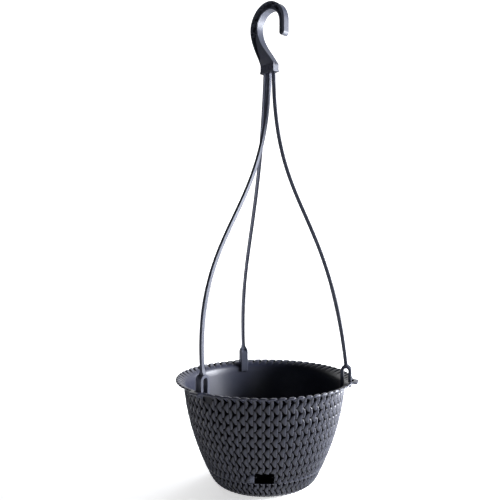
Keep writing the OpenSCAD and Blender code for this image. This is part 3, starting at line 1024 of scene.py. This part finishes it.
@dataclass
class Hook:
    """The hook: an outline in the plane of the row of cells, open on one face, with its socket."""
    hang: Hang
    wall: float = 2.2 * MM
    floor: float = 4.2 * MM
    chamfer: float = 0.5 * MM
    crown: float = 14 * MM
    eye_x: float = 3 * MM
    tip_drop: float = 18 * MM
    tip_thinner: float = 3 * MM
    slot_low: float = 2.5 * MM
    slot_high: float = 7.5 * MM
    socket_w: float = 30 * MM
    socket_d: float = 12.4 * MM
    socket_h: float = 14 * MM
    cell_wall: float = 1.5 * MM
    lip: float = 0.6 * MM
    lip_t: float = 1 * MM
    lip_h: float = 3 * MM
    rib_places: tuple[float, ...] = (66 * MM, 84 * MM, 110 * MM, 134 * MM, 152 * MM)
    rib_half: float = 5 * MM
    rib_t: float = 0.9 * MM

    def edges(self) -> tuple[np.ndarray, np.ndarray]:
        """Outer and inner edge of the hook in its plane, from the socket up and over to the tip.

        Each edge of the limb is a cubic curve with two handles. The outside is then an arc of the
        hook's radius, the inside an arc of the eye's, and both run straight down to a round end.

        Returns:
            Two arrays of shape (n, 2): place along the row of cells, and height.
        """
        hang, half = self.hang, self.socket_w / 2
        arc_z, eye_z = hang.top - hang.radius, hang.top - self.crown - hang.eye_r
        neck = arc_z - hang.base - self.socket_h + 1 * MM
        inner_x, tip_x = self.eye_x - hang.eye_r, self.eye_x + hang.eye_r
        u = np.linspace(0, 1, 46)[:-1, None]
        weights = np.hstack([(1 - u) ** 3, 3 * u * (1 - u) ** 2, 3 * u * u * (1 - u), u ** 3])
        outer = weights @ np.array([[-half, arc_z - neck], [-0.5 * hang.radius, arc_z - 0.76 * neck],
                                    [-hang.radius, arc_z - 0.34 * neck], [-hang.radius, arc_z]])
        inner = weights @ np.array([[half, arc_z - neck], [0.12 * hang.eye_r, arc_z - 0.70 * neck],
                                    [inner_x, arc_z - 0.37 * neck], [inner_x, eye_z]])
        a = np.linspace(math.pi, 0, 60)[:-1, None]
        down, tip_z = np.linspace(0, 1, 12)[:, None], eye_z - self.tip_drop
        q = np.linspace(0, 0.93, 8)[1:, None] * math.pi / 2
        middle, r = (hang.radius + tip_x) / 2, (hang.radius - tip_x) / 2
        edges = []
        for limb, centre, radius, top, way in ((outer, 0, hang.radius, arc_z, 1),
                                               (inner, self.eye_x, hang.eye_r, eye_z, -1)):
            over = np.hstack([centre + radius * np.cos(a), top + radius * np.sin(a)])
            straight = np.hstack([np.full_like(down, centre + radius), top + (tip_z - top) * down])
            rounded = np.hstack([middle + way * r * np.cos(q), tip_z - r * np.sin(q)])
            edges.append(np.vstack([limb, over, straight, rounded]))
        return edges[0], edges[1]

    def frame(self) -> dict[str, np.ndarray]:
        """Measures of the hook at each station along it.

        Returns:
            The middle line, the outward direction, the depth between the edges, the height, how far
            past the crown a station is, from 0 to 1, and the thickness.
        """
        hang = self.hang
        outer, inner = self.edges()
        middle, apart = (outer + inner) / 2, outer - inner
        deep = np.linalg.norm(apart, axis=1)
        away = apart / deep[:, None]
        up = np.array([0, 0, 1])
        thin = 1 - smooth(middle[:, 1], hang.base + self.socket_h, hang.base + 45 * MM)
        past = smooth(middle[:, 0], 0.2 * hang.radius, 0.8 * hang.radius)
        thick = hang.thick - (hang.thick - self.socket_d - self.lip) * thin - self.tip_thinner * past
        return {"path": np.array([hang.off, 0, 0]) + middle[:, :1] * hang.row + middle[:, 1:] * up,
                "out": away[:, :1] * hang.row + away[:, 1:] * up, "deep": deep, "z": middle[:, 1],
                "past": past, "thick": thick}

    def channel(self) -> Shape:
        """The section carried along the hook: two walls, the floor between them and the open face.

        The channel is wide round the arc. Down the neck it narrows to a slot by the outer edge, and
        down the tip to one by the inner edge.

        Returns:
            Vertices and faces.
        """
        f, base = self.frame(), self.hang.base
        h, w, c, t, past = f["deep"] / 2, f["thick"] / 2, self.chamfer, self.wall, f["past"]
        neck = (1 - smooth(f["z"], base + 58 * MM, base + 70 * MM)) * (1 - past)
        grown = smooth(f["z"], base + 24 * MM, base + 60 * MM)
        slot = self.slot_low + (self.slot_high - self.slot_low) * grown
        wide = (2 * h - 2 * t) * (1 - neck) + slot * neck
        wide = np.maximum(wide * (1 - 0.45 * past), 0.4 * MM)
        low_end = smooth(f["z"], base + 24 * MM, base + 30 * MM)
        tip_end = smooth(f["z"], f["z"][-1] + 3 * MM, f["z"][-1] + 8 * MM)
        depth = (2 * w - self.floor) * np.where(past > 0, tip_end, low_end) + 0.05 * MM
        first = h - t - (2 * h - 2 * t - wide) * past
        last, draft = first - wide, 0.1 * MM
        a = np.stack([h - c, h, h, h - c, -h + c, -h, -h, -h + c,
                      last, last + draft, first - draft, first], -1)
        b = np.stack([w, w - c, -w + c, -w, -w, -w + c, w - c, w, w, w - depth, w - depth, w], -1)
        across = np.tile(-self.hang.across, (len(h), 1))
        return swept(f["path"], f["out"], across, np.stack([a, b], -1))

    def ribs(self) -> list[Shape]:
        """Thin plates that cross the channel in pairs, like a row of Xs.

        Returns:
            Vertices and faces of each plate.
        """
        f = self.frame()
        run = run_along(f["path"])
        q, t, shapes = np.linspace(-1, 1, 7), self.rib_t / 2, []
        for place in self.rib_places:
            at = place + self.rib_half * q
            deep, thick = np.interp(at, run, f["deep"]), np.interp(at, run, f["thick"])
            middle, out = (np.stack([np.interp(at, run, f[key][:, k]) for k in range(3)], -1)
                           for key in ("path", "out"))
            across = np.tile(-self.hang.across, (len(q), 1))
            top, foot = thick / 2 - 1.0 * MM, -thick / 2 + self.floor - 0.5 * MM
            outline = np.stack([np.stack([top, top, foot, foot], -1),
                                np.tile([-t, t, t, -t], (len(q), 1))], -1)
            for way in (-1, 1):
                path = middle + (way * q * (deep / 2 - self.wall + 0.3 * MM))[:, None] * unit(out)
                side = unit(np.cross(unit(np.gradient(path, axis=0)), across))
                shapes.append(swept(path, across, side, outline))
        return shapes

    def socket(self) -> list[Shape]:
        """The row of three open cells, the lip round its mouth and the ribs fanned above the lip.

        Returns:
            Vertices and faces of each part.
        """
        hang, d, w, t, e = self.hang, self.socket_d / 2, self.socket_w / 2, self.cell_wall, self.lip
        z, high, mouth = hang.base, hang.base + self.socket_h, hang.base + self.lip_h
        places = (-1.5, -0.5, 0.5, 1.5)
        boxes = [((-d, -w, high - 3 * MM), (d, w, high)), ((-d, -w, z), (-d + t, w, high)),
                 ((d - t, -w, z), (d, w, high))]
        boxes += [((-d, s * hang.pitch - t / 2, z), (d, s * hang.pitch + t / 2, high)) for s in places]
        boxes += [((-d - e, -w - e, z), (-d + self.lip_t, w + e, mouth)),
                  ((d - self.lip_t, -w - e, z), (d + e, w + e, mouth)),
                  ((-d, -w - e, z), (d, -w + self.lip_t, mouth)),
                  ((-d, w - self.lip_t, z), (d, w + e, mouth))]
        move, up = np.array([hang.off, 0, 0]), np.array([0, 0, 1])
        shapes = [(points + move, faces) for points, faces in
                  (box_between(low, far, hang.turn) for low, far in boxes)]
        outline = np.array([[-0.5, -0.5], [-0.5, 0.5], [1.2, 0.5], [1.2, -0.5]]) * MM
        q = np.linspace(0, 1, 4)[:, None]
        for s in places:
            foot, top = s * 9.3 * MM, s * 5.5 * MM
            path = (move - hang.across * d + hang.row * (foot + (top - foot) * q)
                    + up * (mouth - 0.5 * MM + 11 * MM * q))
            side = unit(np.cross(unit(np.gradient(path, axis=0)), hang.across))
            shapes.append(swept(path, np.tile(-hang.across, (len(q), 1)), side, outline))
        return shapes

    def build(self, finish: bpy.types.Material) -> bpy.types.Object:
        """Makes the hook in the CAD hook's place.

        Args:
            finish: Its material.

        Returns:
            The piece.
        """
        points, faces = joined([self.channel(), *self.ribs(), *self.socket()])
        piece = mesh_piece("hook_moulding", points, faces, "hanger", None, 35)
        piece.data.materials.append(finish)
        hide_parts("hook")
        return piece


# ---------------------------------------------------------------- studio

@dataclass
class Studio:
    """Plain pale floor, soft light and the camera."""
    eye_h: float = 378.3 * MM
    away: float = 945 * MM
    shift: float = -0.0288
    lens: float = 41.1

    def light(self, name: str, place: Sequence[float], aim: Sequence[float], size: float,
              watts: float) -> None:
        """Adds a square area light, slightly cool.

        Args:
            name: Its name.
            place: Where it stands.
            aim: The point that it shines towards.
            size: Length of its side.
            watts: Its power.
        """
        data = bpy.data.lights.new(name, "AREA")
        data.color = (0.92, 0.94, 1.0)
        data.size, data.energy = size, watts
        lamp = bpy.data.objects.new(name, data)
        lamp.location = place
        lamp.rotation_euler = (Vector(aim) - Vector(place)).to_track_quat("-Z", "Y").to_euler()
        bpy.context.collection.objects.link(lamp)

    def sheet(self, name: str, corners: Sequence[Sequence[float]], tone: float, roughness: float,
              glow: float) -> None:
        """Adds a plain pale sheet that glows softly.

        Args:
            name: Its name.
            corners: Its four corners.
            tone: How pale it is.
            roughness: How matt it is.
            glow: Strength of its light.
        """
        mesh = bpy.data.meshes.new(name)
        mesh.from_pydata(corners, [], [(0, 1, 2, 3)])
        piece = bpy.data.objects.new(name, mesh)
        bpy.context.collection.objects.link(piece)
        mesh.materials.append(Nodes(name + "_white").finish(
            Base_Color=(tone, tone, tone, 1), Roughness=roughness, Emission_Color=(1, 1, 1, 1),
            Emission_Strength=glow))

    def build(self) -> None:
        """Makes the floor, the screen behind it, the lights, the sky and the camera."""
        self.sheet("floor", [(-6, -6, 0), (6, -6, 0), (6, 6, 0), (-6, 6, 0)], 0.93, 0.9, 0.60)
        self.sheet("backdrop", [(-8, 5, -0.5), (8, 5, -0.5), (8, 5, 6), (-8, 5, 6)], 0.9, 0.5, 1.0)
        world = bpy.data.worlds.new("studio")
        world.use_nodes = True
        sky = world.node_tree.nodes["Background"]
        sky.inputs["Color"].default_value, sky.inputs["Strength"].default_value = (0.93, 0.95, 1.0, 1), 0.05
        bpy.context.scene.world = world
        middle = (0, 0, 0.25)
        self.light("key_right", (1.5, 0.05, 0.52), middle, 0.7, 150)
        self.light("front_soft", (0.7, -2.2, 0.42), middle, 0.8, 7)
        self.light("top_back", (0.2, 1.3, 1.5), (0, 0, 0.17), 0.5, 12)
        camera = bpy.data.cameras.new("camera")
        camera.lens, camera.sensor_width, camera.shift_x = self.lens, 36, self.shift
        eye = bpy.data.objects.new("camera", camera)
        eye.location = (0, -self.away, self.eye_h)
        eye.rotation_euler = (math.pi / 2, 0, 0)
        bpy.context.collection.objects.link(eye)
        bpy.context.scene.camera = eye
        bpy.context.scene.view_settings.view_transform = "Standard"


def main() -> None:
    """Builds the studio, then the basket piece by piece."""
    logging.basicConfig(level=logging.INFO, format="%(message)s")
    side = Side()
    weave = Weave(side)
    clips = Clips(side)
    hang = Hang()
    # The weave's second colour is near black: painted shade for the hollows between the cords
    weave_with_painted_shade = Plastic("anthracite_weave_painted_shade", (0.013, 0.0145, 0.025), (0.0006, 0.0006, 0.001), 0.40,
                           shine=0.26, relief="relief").material()
    satin = Plastic("anthracite_satin", (0.030, 0.033, 0.048), (0.021, 0.024, 0.036), 0.58,
                    Grain.SATIN, shine=0.22).material()
    hooked = Plastic("anthracite_hook", (0.030, 0.033, 0.047), (0.022, 0.025, 0.036), 0.55,
                     Grain.SATIN).material()
    matt = Plastic("anthracite_grate", (0.022, 0.024, 0.030), (0.016, 0.017, 0.022), 0.5).material()

    Studio().build()
    bowl = Bowl(side, weave, clips)
    bowl.build(weave_with_painted_shade)
    bowl.jamb(satin)
    Saucer(side, weave).build(weave_with_painted_shade)
    strands = [
        Strand("strand_front_left", 0, 0, ((0.52, 0.04), (0.52, 1.15)), hang, clips),
        Strand("strand_right", 1, 1, ((0.485, 0.01), (0.46, 0.76)), hang, clips),
        Strand("strand_back", 2, -1, ((0.55, 0.24), (0.63, 1.20)), hang, clips),
    ]
    for strand in strands:
        strand.build(satin)
    Hook(hang).build(hooked)
    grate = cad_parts["soil_grate"]
    for place in grate.material_slots:
        place.material = matt
    log.info("soil_grate: kept from the CAD, with its own finish")


if __name__ == "__main__":
    main()
